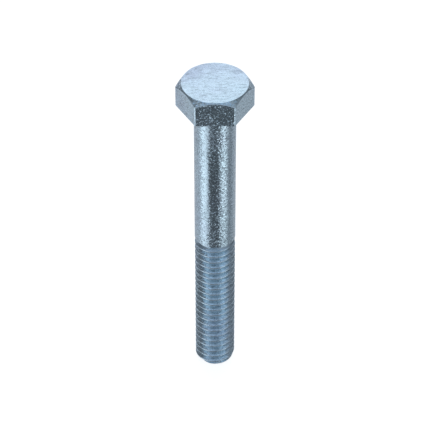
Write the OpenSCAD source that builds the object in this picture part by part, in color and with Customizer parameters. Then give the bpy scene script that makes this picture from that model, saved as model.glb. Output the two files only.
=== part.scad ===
// Hex bolt, 5/16-18 UNC by 2-1/2 in, partly threaded.
// Origin: centre of the head's bearing face. +Z runs along the bolt towards the head.
// Two flats of the hexagon face -Y and +Y, and two of its corners lie on the X axis.

/* [Head] */
// Width of the hexagon across its flats, 1/2 in
across_flats = 12.7; // [12.4:0.05:13]
// Height of the head above its bearing face, 13/64 in
head_height = 5.16; // [4.5:0.02:6]
// Diameter of the flat circle that the chamfer leaves on top of the head
top_circle_d = 12.38; // [11:0.02:12.4]
// Slope of the chamfer round the top corners, in degrees from the horizontal
chamfer_angle = 41; // [20:1:45]
// Radius of the fillet between the bearing face and the shank
fillet_r = 0.4; // [0.2:0.05:0.8]

/* [Shank] */
// Diameter of the plain shank, 5/16 in less the maker's tolerance
shank_d = 7.9; // [7.8:0.02:8]
// Length from the bearing face to the tip, 2-1/2 in
bolt_length = 63.5; // [50:0.5:80]
// Diameter of the blank that the thread is rolled on, where the shank steps down to it
blank_d = 7.1; // [7:0.05:7.3]
// Height of the bevel that leads from the shank down to the blank
step_bevel = 0.25; // [0.1:0.05:0.4]

/* [Thread] */
// Length of the thread, from the end of the shank to the tip
thread_length = 31.6; // [20:0.2:40]
// Outside diameter over the crests
crest_d = 7.84; // [7.7:0.02:7.88]
// Threads in one inch
threads_per_inch = 18; // [16:1:20]
// Depth of the thread, as a share of its pitch
depth_ratio = 0.58; // [0.54:0.01:0.61]
// Turns below the shank over which the thread grows from the blank to its full shape
runout_turns = 0.5; // [0.5:0.25:1.5]
// Diameter of the flat end at the tip
tip_d = 6.92; // [6.6:0.02:7.2]
// Height of the chamfer round the tip
tip_chamfer = 0.5; // [0.3:0.05:1]

/* [Hidden] */

inch = 25.4;
zinc = [0.66, 0.73, 0.80];
round_fn = 96;

head_corner_r = across_flats / 2 / cos(30);
top_circle_r = top_circle_d / 2;
chamfer_drop = (head_corner_r - top_circle_r) * tan(chamfer_angle);

shank_r = shank_d / 2;
blank_r = blank_d / 2;
tip_z = -bolt_length;
shank_end_z = tip_z + thread_length;

pitch = inch / threads_per_inch;
crest_r = crest_d / 2;
root_r = crest_r - depth_ratio * pitch;
tip_r = tip_d / 2;

// The thread is a right-hand one, drawn as columns of points that stand side by side round it.
// The crest and the groove have four edges in each turn, and every column has a point on each
// edge, so the edges run on from column to column as true helices.
columns = 36;
crest_width = pitch / 8;
groove_width = pitch / 4;
flank_width = (pitch - crest_width - groove_width) / 2;
edge_places = [0, crest_width, crest_width + flank_width, pitch - flank_width];
edges_a_turn = len(edge_places);
turns = ceil(thread_length / pitch);
// The least height between an edge and an end face, so that no sliver is drawn between them
least_gap = 0.01;

// Height of an edge above the tip, on a column. Edges are counted upwards, from one turn below it
function edge_height(column, edge) =
    pitch * (floor(edge / edges_a_turn) - 1 + column / columns) + edge_places[edge % edges_a_turn];

// Edges that lie below the tip on a column, and those that lie below the end of the shank
function edges_below(column, height) =
    len([for (e = [0 : (turns + 2) * edges_a_turn - 1]) if (edge_height(column, e) < height) e]);
lowest = [for (c = [0 : columns]) edges_below(c, least_gap)];
past_highest = [for (c = [0 : columns]) edges_below(c, thread_length - least_gap)];

// Radius of the full thread at a height above the tip, on a column
function full_thread_r(column, height) =
    let (turn = height / pitch - column / columns)
    lookup((turn - floor(turn)) * pitch, [
        [0, crest_r],
        [crest_width, crest_r],
        [crest_width + flank_width, root_r],
        [pitch - flank_width, root_r],
        [pitch, crest_r]
    ]);

// The same, with the run-out below the shank and the chamfer round the tip
function thread_r(column, height) =
    let (share = min(1, (thread_length - height) / (runout_turns * pitch)))
    min(
        blank_r + (full_thread_r(column, height) - blank_r) * share,
        tip_r + (crest_r - tip_r) * height / tip_chamfer
    );

function thread_point(column, height) =
    let (r = thread_r(column, height), angle = 360 * column / columns)
    [r * cos(angle), r * sin(angle), tip_z + height];

// Heights of a column's points: the tip, the edges between the two end faces, and the shank's end
function column_heights(column) = concat(
    [0],
    [for (e = [lowest[column] : past_highest[column] - 1]) edge_height(column, e)],
    [thread_length]
);

// Number of the first point of each column, in the list of all the points
column_starts = [
    for (c = 0, start = 0; c < columns; start = start + len(column_heights(c)), c = c + 1) start
];

// Number of the point where an edge crosses a column. An edge that is past an end face gives the
// point on that face. The last column is the first one again, where each edge is one turn higher.
function point_at(column, edge) =
    let (c = column % columns, e = edge + (column == columns ? edges_a_turn : 0))
    column_starts[c] + max(0, min(e, past_highest[c]) - lowest[c] + 1);

module head() {
    color(zinc)
    union() {
        intersection() {
            cylinder(r = head_corner_r, h = head_height, $fn = 6);
            rotate_extrude($fn = round_fn)
                polygon([
                    [0, 0],
                    [head_corner_r, 0],
                    [head_corner_r, head_height - chamfer_drop],
                    [top_circle_r, head_height],
                    [0, head_height]
                ]);
        }
        rotate_extrude($fn = round_fn)
            difference() {
                translate([0, -fillet_r])
                    square([shank_r + fillet_r, fillet_r]);
                translate([shank_r + fillet_r, -fillet_r])
                    circle(r = fillet_r, $fn = round_fn);
            }
    }
}

module shank() {
    color(zinc)
    rotate_extrude($fn = round_fn)
        polygon([
            [0, -fillet_r],
            [shank_r, -fillet_r],
            [shank_r, shank_end_z + step_bevel],
            [blank_r, shank_end_z],
            [0, shank_end_z]
        ]);
}

module thread() {
    points = [
        for (c = [0 : columns - 1], h = column_heights(c)) thread_point(c, h)
    ];
    sides = [
        for (c = [0 : columns - 1], e = [min(lowest) - 1 : max(past_highest) - 1])
            let (low = point_at(c, e), high = point_at(c, e + 1))
            let (next_low = point_at(c + 1, e), next_high = point_at(c + 1, e + 1))
            each [
                if (next_low != next_high) [low, next_high, next_low],
                if (low != high) [low, high, next_high]
            ]
    ];
    tip_face = [for (c = [0 : columns - 1]) column_starts[c]];
    shank_face = [for (c = [columns - 1 : -1 : 0]) point_at(c, past_highest[c])];
    color(zinc)
    polyhedron(points = points, faces = concat([tip_face, shank_face], sides), convexity = 10);
}

head();
shank();
thread();
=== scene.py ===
"""A zinc-plated hex bolt that stands on its tip, head up, on a pale studio floor.

The frame's origin is the centre of the head's bearing face, +Z runs along the bolt towards the
head, and one flat of the hexagon faces -Y, where the camera is. Sizes are in metres.
"""

import math

import bpy
import numpy as np
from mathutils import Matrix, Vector, noise


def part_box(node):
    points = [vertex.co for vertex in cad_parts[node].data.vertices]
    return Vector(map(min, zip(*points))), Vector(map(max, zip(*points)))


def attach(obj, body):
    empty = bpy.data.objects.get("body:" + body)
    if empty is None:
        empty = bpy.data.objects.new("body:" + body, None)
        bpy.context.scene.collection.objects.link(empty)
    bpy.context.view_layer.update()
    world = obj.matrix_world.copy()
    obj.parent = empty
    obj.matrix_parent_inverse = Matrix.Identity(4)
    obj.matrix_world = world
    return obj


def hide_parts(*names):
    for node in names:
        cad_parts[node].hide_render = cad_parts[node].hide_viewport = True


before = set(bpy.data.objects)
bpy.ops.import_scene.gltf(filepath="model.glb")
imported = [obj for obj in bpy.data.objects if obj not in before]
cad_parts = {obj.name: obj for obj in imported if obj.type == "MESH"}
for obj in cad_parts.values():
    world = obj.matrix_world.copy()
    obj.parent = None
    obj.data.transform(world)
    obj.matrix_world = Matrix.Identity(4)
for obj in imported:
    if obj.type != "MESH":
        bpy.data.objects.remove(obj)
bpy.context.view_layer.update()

MM = 0.001

# ---- Sizes ------------------------------------------------------------------------------------

head_low, head_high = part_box("head")
shank_low, shank_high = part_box("shank")
thread_low, thread_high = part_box("thread")

FLAT_R = head_high.y                # from the axis to a flat of the hexagon
HEAD_TOP = head_high.z
COLLAR_Z = head_low.z               # where the fillet under the head ends and the shank begins
SHANK_R = shank_high.x
SHANK_END = shank_low.z
CREST_R = thread_high.x
TIP_Z = thread_low.z

# Sizes that the boxes don't give
TOP_CIRCLE_R = 6.19 * MM            # the flat circle on top of the head
CHAMFER_SLOPE = math.tan(math.radians(41))
BLANK_R = 3.55 * MM                 # the shank steps down to this radius before the thread
BEVEL_H = 0.25 * MM                 # height of that step
PITCH = 25.4 * MM / 18
THREAD_DEPTH = 0.58 * PITCH
RUNOUT_TURNS = 0.5
TIP_R = 3.46 * MM
TIP_CHAMFER = 0.5 * MM

# Radii of the edges, which the tools and the plating leave round
CORNER_ROUND = 0.38 * MM            # the hexagon's six upright edges
RIM_ROUND = 0.10 * MM               # the edge of the circle on top
BROW_ROUND = 0.26 * MM              # the edge between the chamfer and a flat
FOOT_ROUND = 0.10 * MM              # the edge round the bearing face
STEP_ROUND = 0.12 * MM              # the shank's lower edge
CREST_ROUND = 0.04 * MM
ROOT_ROUND = 0.19 * MM

HEAD_COLUMNS = 480                  # a multiple of 24, for the corners and for the square patch
SHANK_COLUMNS = 256
THREAD_COLUMNS = 240


# ---- Mesh tools -------------------------------------------------------------------------------

def outline(corners, radii, stretch_steps, arc_steps):
    """Points along a polyline whose inner corners are arcs.

    Each straight stretch is divided into its own number of steps, and so is each arc, so that
    outlines with the same steps have the same number of points. Returns the points, and how far
    each one is into an arc: 0 on a stretch, and up to 1 halfway round."""
    arcs = []
    for before, here, after, radius in zip(corners, corners[1:], corners[2:], radii):
        back = np.subtract(before, here) / math.dist(before, here)
        ahead = np.subtract(after, here) / math.dist(after, here)
        half = math.acos(float(np.clip(back @ ahead, -1, 1))) / 2
        centre = here + (back + ahead) / np.linalg.norm(back + ahead) * radius / math.sin(half)
        reach = radius / math.tan(half)
        first, last = here + back * reach - centre, here + ahead * reach - centre
        arcs.append((centre, first, last, math.pi - 2 * half))
    points, bend = [np.array(corners[0], float)], [0.0]
    for k, steps in enumerate(stretch_steps):
        start = points[-1]
        end = arcs[k][0] + arcs[k][1] if k < len(arcs) else np.array(corners[-1], float)
        for s in range(1, steps + 1):
            points.append(start + (end - start) * s / steps)
            bend.append(0.0)
        if k < len(arcs):
            centre, first, last, turn = arcs[k]
            for s in range(1, arc_steps[k] + 1):
                t = s / arc_steps[k]
                from_first, from_last = math.sin((1 - t) * turn), math.sin(t * turn)
                points.append(centre + (first * from_first + last * from_last) / math.sin(turn))
                bend.append(math.sin(math.pi * t))
    return np.array(points), np.array(bend)


def relief(point):
    """Height of the surface's relief at a point: slow waves from forging and rolling, and the
    orange peel of the plating."""
    p = Vector(point) / MM
    slow = noise.noise(p * 0.23) * 9
    middle = noise.noise(p * 0.9 + Vector((7, 3, 1))) * 2.2
    peel = noise.noise(p * 2.6 + Vector((2, 9, 5))) * 1.4
    return (slow + middle + peel) * 1e-6


class Skin:
    """Collects points and faces, and makes one closed piece of them. Each point carries a value
    from
    -1, where painted shade darkens a recess, to 1, on an edge that is rubbed bright."""

    def __init__(self):
        self.points, self.faces, self.ends, self.wear_and_shade = [], [], [], []
        self.rims = set()

    def add(self, point, wear_and_shade=0.0):
        self.points.append(tuple(point))
        self.wear_and_shade.append(wear_and_shade)
        return len(self.points) - 1

    def join(self, low, high, faces=None):
        """Faces between two closed rings of points, counted anticlockwise, the low one first."""
        faces = self.faces if faces is None else faces
        for a, b, c, d in zip(low, low[1:] + low[:1], high[1:] + high[:1], high):
            faces.append((a, b, c, d))

    def close(self, ring, z, rings, upwards):
        """A flat end inside a ring, in narrowing rings round the axis."""
        self.rims.update(ring)
        outer = [self.points[i] for i in ring]
        last = ring
        for k in range(rings - 1, 0, -1):
            inner = [self.add((x * k / rings, y * k / rings, z)) for x, y, _ in outer]
            self.join(*((last, inner) if upwards else (inner, last)), self.ends)
            last = inner
        middle = self.add((0, 0, z))
        for a, b in zip(last, last[1:] + last[:1]):
            self.ends.append((a, b, middle) if upwards else (b, a, middle))

    def make(self, name):
        """The relief moves each point along its normal, and a point on the rim of an end only
        sideways, so that the ends stay flat and the pieces meet there."""
        points = np.array(self.points)
        normals = np.zeros_like(points)
        corners = np.array([(*face, face[-1])[:4] for face in self.faces])
        a, b, c, d = (points[corner] for corner in corners.T)
        across = np.cross(c - a, d - b)
        for corner in corners.T:
            np.add.at(normals, corner, across)
        normals[list(self.rims), 2] = 0
        lengths = np.linalg.norm(normals, axis=1)
        for i in np.nonzero(lengths)[0]:
            points[i] += normals[i] / lengths[i] * relief(points[i])

        mesh = bpy.data.meshes.new(name)
        mesh.from_pydata(points.tolist(), [], self.faces + self.ends)
        mesh.attributes.new("wear_and_shade", "FLOAT", "POINT").data.foreach_set("value", self.wear_and_shade)
        mesh.shade_smooth()
        mesh.set_sharp_from_angle(angle=math.radians(38))
        mesh.update()
        piece = bpy.data.objects.new(name, mesh)
        bpy.context.scene.collection.objects.link(piece)
        return piece


# ---- Head -------------------------------------------------------------------------------------

def hexagon_r(angle):
    """Radius of the hexagon, with its round corners, at an angle round the axis. Its corners are
    at 0, 60, 120 degrees and so on. Also how far into a corner the point is, from 0 to 1."""
    from_corner = abs((math.degrees(angle) + 30) % 60 - 30)
    from_flat = math.radians(30 - from_corner)
    last_flat = math.atan((FLAT_R - CORNER_ROUND) * math.tan(math.radians(30)) / FLAT_R)
    if from_flat <= last_flat:
        return FLAT_R / math.cos(from_flat), 0.0
    g = math.radians(from_corner)
    centre = (FLAT_R - CORNER_ROUND) / math.cos(math.radians(30))
    r = centre * math.cos(g) + math.sqrt(CORNER_ROUND ** 2 - (centre * math.sin(g)) ** 2)
    return r, 1 - g / (math.radians(30) - last_flat)


def make_head():
    """Columns of points run round the head, from the collar out under it, up its side and in over
    its top. They end at a square patch, mapped to a circle, that fills the middle of the top."""
    skin = Skin()
    patch_r = 4.6 * MM
    squeeze = 0.45                      # how much closer the columns stand at the corners
    brow_low = HEAD_TOP - 1.2 * MM      # the chamfer's lowest point, with room to spare
    columns = []
    for c in range(HEAD_COLUMNS):
        even = 2 * math.pi * c / HEAD_COLUMNS - math.pi / 4
        angle = even - squeeze / 6 * math.sin(6 * even)
        r, corner = hexagon_r(angle)
        chamfer_z = HEAD_TOP - (r - TOP_CIRCLE_R) * CHAMFER_SLOPE
        profile, bend = outline(
            [(SHANK_R, COLLAR_Z), (SHANK_R, 0), (r, 0), (r, chamfer_z),
             (TOP_CIRCLE_R, HEAD_TOP), (patch_r, HEAD_TOP)],
            [-COLLAR_Z, FOOT_ROUND, BROW_ROUND, RIM_ROUND],
            stretch_steps=[0, 24, 50, 9, 20],
            arc_steps=[6, 4, 8, 4],
        )
        columns.append((even, angle, corner, profile, bend))
    rows = len(columns[0][3])
    rings = []
    for k in range(rows):
        ring = []
        for even, angle, corner, profile, bend in columns:
            r, z = profile[k]
            # on top, the columns spread out evenly on their way to the patch
            share = 1
            if z >= HEAD_TOP - 1e-9:
                share = min(1, max(0, (r - patch_r) / (TOP_CIRCLE_R - patch_r)))
            a = even + (angle - even) * share
            on_edge = bend[k] if z > FOOT_ROUND / 2 else 0
            on_corner = corner if FOOT_ROUND < z < brow_low else 0
            ring.append(skin.add((r * math.cos(a), r * math.sin(a), z), max(on_edge, on_corner)))
        rings.append(ring)
    for low, high in zip(rings, rings[1:]):
        skin.join(low, high)
    skin.close(rings[0], COLLAR_Z, 4, upwards=False)

    side = HEAD_COLUMNS // 4

    def on_patch(i, j):
        if i == side:
            return rings[-1][j]
        if j == side:
            return rings[-1][2 * side - i]
        if i == 0:
            return rings[-1][3 * side - j]
        if j == 0:
            return rings[-1][3 * side + i]
        a, b = 2 * i / side - 1, 2 * j / side - 1
        if abs(a) < 1e-9 and abs(b) < 1e-9:
            return skin.add((0, 0, HEAD_TOP))
        if abs(a) > abs(b):
            r, angle = a, math.pi / 4 * b / a
        else:
            r, angle = b, math.pi / 2 - math.pi / 4 * a / b
        return skin.add((patch_r * r * math.cos(angle), patch_r * r * math.sin(angle), HEAD_TOP))

    grid = [[on_patch(i, j) for j in range(side + 1)] for i in range(side + 1)]
    for i in range(side):
        for j in range(side):
            skin.faces.append((grid[i][j], grid[i + 1][j], grid[i + 1][j + 1], grid[i][j + 1]))
    return skin.make("hex_head")


# ---- Shank ------------------------------------------------------------------------------------

def make_shank():
    skin = Skin()
    profile, bend = outline(
        [(BLANK_R, SHANK_END), (SHANK_R, SHANK_END + BEVEL_H), (SHANK_R, COLLAR_Z)],
        [STEP_ROUND],
        stretch_steps=[4, 320],
        arc_steps=[5],
    )
    rings = []
    for (r, z), wear_and_shade in zip(profile, bend):
        angles = [2 * math.pi * c / SHANK_COLUMNS for c in range(SHANK_COLUMNS)]
        rings.append([skin.add((r * math.cos(a), r * math.sin(a), z), wear_and_shade) for a in angles])
    for low, high in zip(rings, rings[1:]):
        skin.join(low, high)
    skin.close(rings[0], SHANK_END, 4, upwards=False)
    skin.close(rings[-1], COLLAR_Z, 4, upwards=True)
    return skin.make("plain_shank")


# ---- Thread -----------------------------------------------------------------------------------

def thread_profile():
    """One pitch of the thread, as (height within the pitch, radius, wear and painted shade)."""
    crest, groove = PITCH / 8, PITCH / 4
    flank = (PITCH - crest - groove) / 2
    root = CREST_R - THREAD_DEPTH
    points, bend = outline(
        [(-groove / 2 - flank, root), (-flank, root), (0, CREST_R), (crest, CREST_R),
         (crest + flank, root), (crest + flank + groove / 2, root)],
        [ROOT_ROUND, CREST_ROUND, CREST_ROUND, ROOT_ROUND],
        stretch_steps=[1, 2, 1, 2, 1],
        arc_steps=[3, 2, 2, 3],
    )
    depths = (CREST_R - points[:, 1]) / THREAD_DEPTH
    # Near the crests the value is wear. Deep in the roots it goes below 0, which is painted shade.
    wear_and_shade = np.where(depths < 0.3, bend, -np.clip((depths - 0.6) / 0.4, 0, 1))
    return [(h, r, w) for (h, r), w in zip(points[:-1], wear_and_shade[:-1])]


def make_thread():
    """The thread's rows run along its helix. At each end face, the nearest row in each column is
    put on the face, and the rows past it are left out."""
    skin = Skin()
    profile = thread_profile()
    per_turn = len(profile)
    n = THREAD_COLUMNS
    length = SHANK_END - TIP_Z

    def height(column, row):
        turn, k = divmod(row, per_turn)
        return PITCH * (turn - 1 + column / n) + profile[k][0]

    rows = (math.ceil(length / PITCH) + 3) * per_turn
    heights = np.array([[height(c, row) for row in range(rows)] for c in range(n + 1)])
    radii = [profile[row % per_turn][1] for row in range(rows)]

    def radius(column, z):
        r = np.interp(z, heights[column], radii)
        share = min(1, (length - z) / (RUNOUT_TURNS * PITCH))
        return min(BLANK_R + (r - BLANK_R) * share, TIP_R + (CREST_R - TIP_R) * z / TIP_CHAMFER)

    def step_shade(z):
        """How much painted shade darkens the thread just under the shank's step, from 0 to 1. It
        also takes away the crests' wear there.
        """
        return max(0, min(1, 1.8 - (length - z) / (0.6 * MM)))

    first = [int(np.argmin(abs(heights[c]))) for c in range(n)]
    last = [int(np.argmin(abs(heights[c] - length))) for c in range(n)]
    made = {}
    for c in range(n):
        a = 2 * math.pi * c / n
        for row in range(first[c], last[c] + 1):
            z = 0.0 if row == first[c] else length if row == last[c] else heights[c][row]
            r = radius(c, z)
            # Just under the shank's step, painted shade is subtracted from each point's value.
            wear_and_shade = profile[row % per_turn][2] - step_shade(z)
            made[c, row] = skin.add((r * math.cos(a), r * math.sin(a), TIP_Z + z), wear_and_shade)

    def at(column, row):
        """A point, or None past an end. From the last column back to the first is one turn."""
        return made.get((column, row) if column < n else (0, row + per_turn))

    for c in range(n):
        for row in range(rows):
            corners = [at(c, row), at(c + 1, row), at(c + 1, row + 1), at(c, row + 1)]
            face = [i for i in corners if i is not None]
            if len(face) >= 3:
                skin.faces.append(tuple(face))
    skin.close([made[c, first[c]] for c in range(n)], TIP_Z, 12, upwards=False)
    skin.close([made[c, last[c]] for c in range(n)], SHANK_END, 4, upwards=True)
    return skin.make("rolled_thread")


# ---- Materials --------------------------------------------------------------------------------

class Nodes:
    """Adds nodes to a node tree. An input is given as a node's output, to be linked, or as a
    value."""

    def __init__(self, tree):
        self.tree = tree
        tree.nodes.clear()

    def put(self, socket, value):
        if isinstance(value, bpy.types.NodeSocket):
            self.tree.links.new(value, socket)
        else:
            socket.default_value = value

    def __call__(self, kind, inputs=None, **settings):
        made = self.tree.nodes.new(kind)
        for key, value in settings.items():
            setattr(made, key, value)
        for key, value in (inputs or {}).items():
            self.put(made.inputs[key], value)
        return made.outputs

    def math(self, operation, a, b=0.0):
        return self("ShaderNodeMath", {0: a, 1: b}, operation=operation)["Value"]

    def vector(self, operation, a, b, result="Vector"):
        return self("ShaderNodeVectorMath", {0: a, 1: b}, operation=operation)[result]

    def noise(self, place, scale, detail, roughness=0.5, result="Fac"):
        return self("ShaderNodeTexNoise", {
            "Vector": place, "Scale": scale, "Detail": detail, "Roughness": roughness,
        })[result]

    def mix(self, share, a, b, blend="MIX"):
        """Mixes two colours."""
        made = self.tree.nodes.new("ShaderNodeMix")
        made.data_type, made.blend_type = "RGBA", blend
        self.put(made.inputs["Factor"], share)
        for name, value in (("A", a), ("B", b)):
            self.put(next(i for i in made.inputs if i.name == name and i.type == "RGBA"), value)
        return next(o for o in made.outputs if o.type == "RGBA")

    def spread(self, value, low, high, to_low, to_high, smooth=False):
        """Maps the range from low to high onto another one, and clamps to it."""
        return self("ShaderNodeMapRange", {
            "Value": value, "From Min": low, "From Max": high, "To Min": to_low, "To Max": to_high,
        }, interpolation_type="SMOOTHSTEP" if smooth else "LINEAR")["Result"]

    def ramp(self, factor, stops):
        """A colour ramp. Each stop is (place, grey) or (place, (r, g, b))."""
        made = self.tree.nodes.new("ShaderNodeValToRGB")
        elements = made.color_ramp.elements
        while len(elements) < len(stops):
            elements.new(0.5)
        for element, (place, colour) in zip(elements, stops):
            element.position = place
            element.color = rgba(colour)
        self.put(made.inputs["Fac"], factor)
        return made.outputs["Color"]


def rgba(colour, by=(1, 1, 1)):
    """A colour for a socket, from a grey or (r, g, b), multiplied by another colour."""
    parts = colour if isinstance(colour, tuple) else (colour,) * 3
    return (*(min(1, part * share) for part, share in zip(parts, by)), 1)


def zinc(name, tone, roughness, mottle, glitter, haze):
    """Bright zinc plating with a clear blue passivate.

    tone: its mean colour
    roughness: (least, most) between fine patches
    mottle: how much darker its dark specks are
    glitter: how far its crystals lean
    haze: how much rougher its dull places are"""
    material = bpy.data.materials.new(name)
    material.use_nodes = True
    add = Nodes(material.node_tree)
    place = add("ShaderNodeTexCoord")["Object"]
    # Point values above 0 mark rubbed edges. Below 0 they mark painted shade in the thread's roots
    # and under the shank's step.
    wear_and_shade = add("ShaderNodeAttribute", attribute_name="wear_and_shade")["Fac"]
    worn = add.spread(wear_and_shade, 0, 1, 0, 1)
    shade_share = add.spread(wear_and_shade, 0, -1, 0, 1)

    # Patches of thicker passivate film are more violet. The colour also turns darker and more
    # violet towards -X and +Y, which is painted shade on the back and left of the bolt.
    film_and_shade = add.spread(add.noise(place, 180.0, 3.0), 0, 1, 0.2, 0.8)
    film_and_shade = add.math("ADD", film_and_shade, add.vector("DOT_PRODUCT", place, (7.0, -24.0, 0.0), "Value"))
    violet, slate, pale = (0.82, 0.79, 0.84), (0.97, 0.96, 0.98), (0.97, 1.0, 0.99)
    colour = add.ramp(film_and_shade, [
        (0.32, rgba(tone, violet)[:3]), (0.45, rgba(tone, slate)[:3]),
        (0.52, tone), (0.68, rgba(tone, pale)[:3]),
    ])

    # Fine dark dashes along X, and crystals of zinc, some of them dark
    dashes = add.noise(add.vector("MULTIPLY", place, (0.22, 1.0, 1.0)), 3000.0, 2.0)
    dashes = add.spread(dashes, 0.28, 0.52, 0.70, 1.0)
    colour = add.mix(1.0, colour, dashes, "MULTIPLY")
    crystals = add.noise(place, 3400.0, 2.0, 0.6, "Color")
    shares = add("ShaderNodeSeparateColor", {"Color": crystals})
    specks = add.spread(shares["Red"], 0.32, 0.68, 1 - mottle, 1.13)
    colour = add.mix(1.0, colour, specks, "MULTIPLY")

    # Painted shade in the thread's roots and just under the shank's step, and plainer, lighter
    # plating where edges are rubbed
    painted_shade = add.spread(add.noise(place, 900.0, 4.0), 0.3, 0.7, 0.5, 1.0)
    painted_shade = add.math("MULTIPLY", painted_shade, shade_share)
    colour = add.mix(painted_shade, colour, rgba(tone, (0.72, 0.74, 0.76)))
    bare = add.spread(add.noise(place, 1500.0, 3.0), 0.3, 0.6, 0.4, 1.0)
    bare = add.math("MULTIPLY", bare, worn)
    colour = add.mix(bare, colour, rgba(tone, (0.94, 0.94, 0.95)))

    # Along the bolt the plating turns dull and bright again. It is brightest halfway down the
    # shank, and where it is dull more of the crystals lean.
    wave = (0.0, 0.0, 2 * math.pi / (26 * MM))
    swing = add.spread(add.noise(place, 110.0, 1.0), 0, 1, -0.8, 3.2)
    along = add.math("ADD", add.vector("DOT_PRODUCT", place, wave, "Value"), swing)
    dull = add.spread(add.math("COSINE", along), -0.6, 0.8, 0, 1)

    rough = add.spread(add.noise(place, 2600.0, 2.0, 0.6), 0.35, 0.65, *roughness)
    rough = add.math("ADD", rough, add.spread(dull, 0, 1, 0, haze))
    rough = add.math("MULTIPLY", rough, add.spread(bare, 0, 1, 1.0, 0.85))

    # Most crystals lean a little and some of them far, except where the plating is rubbed
    steep = add.math("ADD", shares["Green"], add.spread(dull, 0, 1, -0.01, 0.085))
    steep = add.spread(steep, 0.50, 0.62, 0.25 * glitter, glitter)
    steep = add.math("MULTIPLY", steep, add.spread(bare, 0, 1, 1.0, 0.2))
    lean = add.vector("SUBTRACT", crystals, (0.5, 0.5, 0.5))
    lean = add("ShaderNodeVectorMath", {0: lean, "Scale": steep}, operation="SCALE")["Vector"]
    facets = add.vector("ADD", add("ShaderNodeNewGeometry")["Normal"], lean)
    facets = add("ShaderNodeVectorMath", {0: facets}, operation="NORMALIZE")["Vector"]
    normal = add("ShaderNodeBump", {
        "Height": add.noise(place, 3300.0, 3.0, 0.65), "Strength": 1.0, "Distance": 0.9e-5,
        "Normal": facets,
    })["Normal"]

    shader = add("ShaderNodeBsdfPrincipled", {
        "Base Color": colour, "Metallic": 1.0, "Roughness": rough, "Normal": normal,
    })["BSDF"]
    add("ShaderNodeOutputMaterial", {"Surface": shader})
    return material


# ---- Pieces -----------------------------------------------------------------------------------

ZINC = (0.62, 0.785, 0.91)

for make, node, finish in (
    (make_head, "head", dict(roughness=(0.07, 0.20), mottle=0.20, glitter=1.9, haze=0.03)),
    (make_shank, "shank", dict(roughness=(0.08, 0.24), mottle=0.40, glitter=1.4, haze=0.06)),
    (make_thread, "thread", dict(roughness=(0.15, 0.34), mottle=0.26, glitter=0.6, haze=0.05)),
):
    piece = make()
    piece.data.materials.append(zinc("zinc_" + node, ZINC, **finish))
    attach(piece, "root")
    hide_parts(node)


# ---- Floor, light and camera ------------------------------------------------------------------

def make_floor():
    """A pale floor under the tip. The metal doesn't mirror it: the world gives its reflections."""
    reach = 5.0
    corners = [(-reach, -reach), (reach, -reach), (reach, reach), (-reach, reach)]
    mesh = bpy.data.meshes.new("floor")
    mesh.from_pydata([(x, y, TIP_Z) for x, y in corners], [], [(0, 1, 2, 3)])
    floor = bpy.data.objects.new("floor", mesh)
    bpy.context.scene.collection.objects.link(floor)
    material = bpy.data.materials.new("floor_white")
    material.use_nodes = True
    add = Nodes(material.node_tree)
    shader = add("ShaderNodeBsdfPrincipled", {
        "Base Color": (0.6, 0.6, 0.6, 1), "Roughness": 0.9, "Specular IOR Level": 0.0,
        "Emission Color": (1, 1, 1, 1), "Emission Strength": 0.80,
    })["BSDF"]
    add("ShaderNodeOutputMaterial", {"Surface": shader})
    mesh.materials.append(material)
    floor.visible_glossy = False


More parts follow.
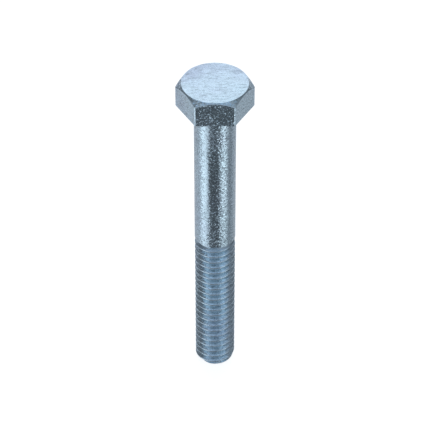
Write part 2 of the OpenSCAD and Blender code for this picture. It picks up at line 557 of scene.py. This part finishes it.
# Brightness of the studio in the directions round the bolt, in bands from below upwards. Azimuth
# 0 is -Y, and azimuth 90 is +X. Each band is (where it begins, where it is full, its stops), with
# elevations in degrees and stops of (azimuth, brightness). Below the horizon, two soft boxes stand
# left and right of a dark gap at the front.
BRIGHTEST = 1.8                         # a ramp's colours stop at 1, so they are shares of this
COOL = (0.97, 1.0, 1.06)                # the tint of all the light
LEFT_BOX = (1.43, 1.45, 1.36)
RIGHT_BOX = (1.74, 1.76, 1.66)
STUDIO = [
    (-91, -90, [(-180, 0.10), (180, 0.10)]),
    (-78, -66, [
        (-180, 0.60), (-150, 0.54), (-96, 0.58), (-84, 0.72), (-76, 1.06), (-47, 1.06),
        (-38, 0.5), (-30, 0.12), (18, 0.11), (30, 0.32), (38, 0.40), (60, 0.38), (72, 0.36),
        (80, 0.25), (100, 0.26), (116, 0.44), (150, 0.50), (180, 0.60),
    ]),
    (-45, -33, [
        (-180, 0.74), (-150, 0.57), (-96, 0.57), (-84, 0.78), (-76, LEFT_BOX), (-47, LEFT_BOX),
        (-38, 0.45), (-30, 0.085), (18, 0.08), (30, 0.5), (38, RIGHT_BOX), (60, RIGHT_BOX),
        (72, 0.58), (80, 0.31), (100, 0.30), (116, 0.47), (150, 0.53), (180, 0.74),
    ]),
    (-32, -24, [
        (-180, 1.05), (-162, 1.0), (-152, 0.42), (-138, 0.36), (-128, 0.2), (-112, 0.16),
        (-82, 0.32), (-72, 0.85), (-44, 0.85), (-34, 0.44), (0, (0.41, 0.43, 0.45)), (34, 0.44),
        (42, 0.80), (62, 0.80), (72, 0.30), (112, 0.16), (128, 0.2), (138, 0.36), (152, 0.42),
        (162, 1.0), (180, 1.05),
    ]),
    (6, 22, [
        (-180, 0.99), (-152, 0.94), (-142, 0.50), (-132, 0.22), (-122, 0.13), (-95, 0.18),
        (-50, 0.44), (0, (0.38, 0.41, 0.44)), (50, 0.44), (95, 0.20), (122, 0.16), (132, 0.26),
        (142, 0.55), (152, 0.91), (180, 0.99),
    ]),
    (50, 64, [
        (-180, (0.48, 0.54, 0.60)), (-60, (0.50, 0.60, 0.74)), (0, (0.25, 0.28, 0.32)),
        (60, (0.53, 0.65, 0.79)), (180, (0.48, 0.54, 0.60)),
    ]),
    (74, 84, [(-180, (0.64, 0.73, 0.84)), (180, (0.64, 0.73, 0.84))]),
]


def make_world():
    """Soft studio light, as brightness by direction. The camera sees plain white instead."""
    world = bpy.data.worlds.new("studio")
    bpy.context.scene.world = world
    world.use_nodes = True
    add = Nodes(world.node_tree)
    direction = add("ShaderNodeSeparateXYZ", {"Vector": add("ShaderNodeTexCoord")["Generated"]})
    azimuth = add.math("ARCTAN2", direction["X"], add.math("MULTIPLY", direction["Y"], -1.0))
    turn = add.spread(azimuth, -math.pi, math.pi, 0, 1)
    rise = add.math("MULTIPLY", add.math("ARCSINE", direction["Z"]), 180 / math.pi)

    tint = tuple(part / BRIGHTEST for part in COOL)
    colour = (0, 0, 0, 1)
    for begins, full, stops in STUDIO:
        stops = [(degrees / 360 + 0.5, rgba(bright, tint)[:3]) for degrees, bright in stops]
        band = add.ramp(turn, stops)
        colour = add.mix(add.spread(rise, begins, full, 0, 1, smooth=True), colour, band)
    light = add("ShaderNodeBackground", {"Color": colour, "Strength": BRIGHTEST})["Background"]
    white = add("ShaderNodeBackground", {"Color": (1, 1, 1, 1), "Strength": 1.0})["Background"]
    seen = add("ShaderNodeLightPath")["Is Camera Ray"]
    both = add("ShaderNodeMixShader", {0: seen, 1: light, 2: white})["Shader"]
    add("ShaderNodeOutputWorld", {"Surface": both})


def make_camera():
    """A long lens that looks down at the bolt, at the height of its middle."""
    aim = Vector((0, 0, -26.61 * MM))
    pitch = math.radians(40.58)
    distance = 382.7 * MM
    back = Vector((0, -math.cos(pitch), math.sin(pitch)))
    data = bpy.data.cameras.new("camera")
    data.lens, data.sensor_width = 166.2, 36
    data.clip_start, data.clip_end = 0.01, 20
    camera = bpy.data.objects.new("camera", data)
    camera.location = aim + back * distance
    camera.rotation_mode = "QUATERNION"
    camera.rotation_quaternion = (-back).to_track_quat("-Z", "Y")
    bpy.context.scene.collection.objects.link(camera)
    bpy.context.scene.camera = camera


make_floor()
make_world()
make_camera()
bpy.context.scene.view_settings.view_transform = "Standard"
